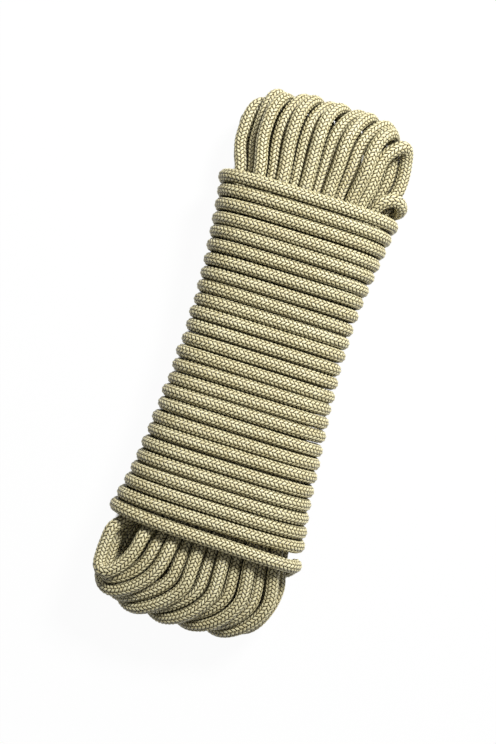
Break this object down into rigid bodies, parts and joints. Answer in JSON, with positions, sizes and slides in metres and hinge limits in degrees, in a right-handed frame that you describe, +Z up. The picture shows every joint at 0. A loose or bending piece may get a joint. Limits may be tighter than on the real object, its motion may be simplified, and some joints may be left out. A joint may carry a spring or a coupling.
{
  "type": "hank of braided rope",
  "caption": "Long braided rope put away as a hank: lengthwise loops bound by a close winding, with a small turnover bight and a tucked, sealed end.",
  "frame": {"origin": "centre of the bounding box at the level of the table under the hank", "axes": "+Y along the hank towards the end with the small bight, +X across it to the right seen from above, +Z up from the table"},
  "size_m": [0.1464, 0.4014, 0.0786],
  "materials": {
    "sheath": "braided polyamide, slight sheen",
    "core": "twisted filament",
    "seal": "melted"
  },
  "bodies": {
    "root": {"lengthwise_loops": "sheath", "winding": "sheath", "turnover_bight": "sheath", "end_tuck": "sheath", "inner_tail_sheath": "sheath", "inner_core_strand_1": "core", "inner_core_strand_2": "core", "inner_core_strand_3": "core", "inner_core_strand_4": "core", "inner_core_strand_5": "core", "inner_core_strand_6": "core", "inner_core_strand_7": "core", "inner_end_seal": "seal", "outer_tail_sheath": "sheath", "outer_core_strand_1": "core", "outer_core_strand_2": "core", "outer_core_strand_3": "core", "outer_core_strand_4": "core", "outer_core_strand_5": "core", "outer_core_strand_6": "core", "outer_core_strand_7": "core", "outer_end_seal": "seal"}
  },
  "joints": []
}
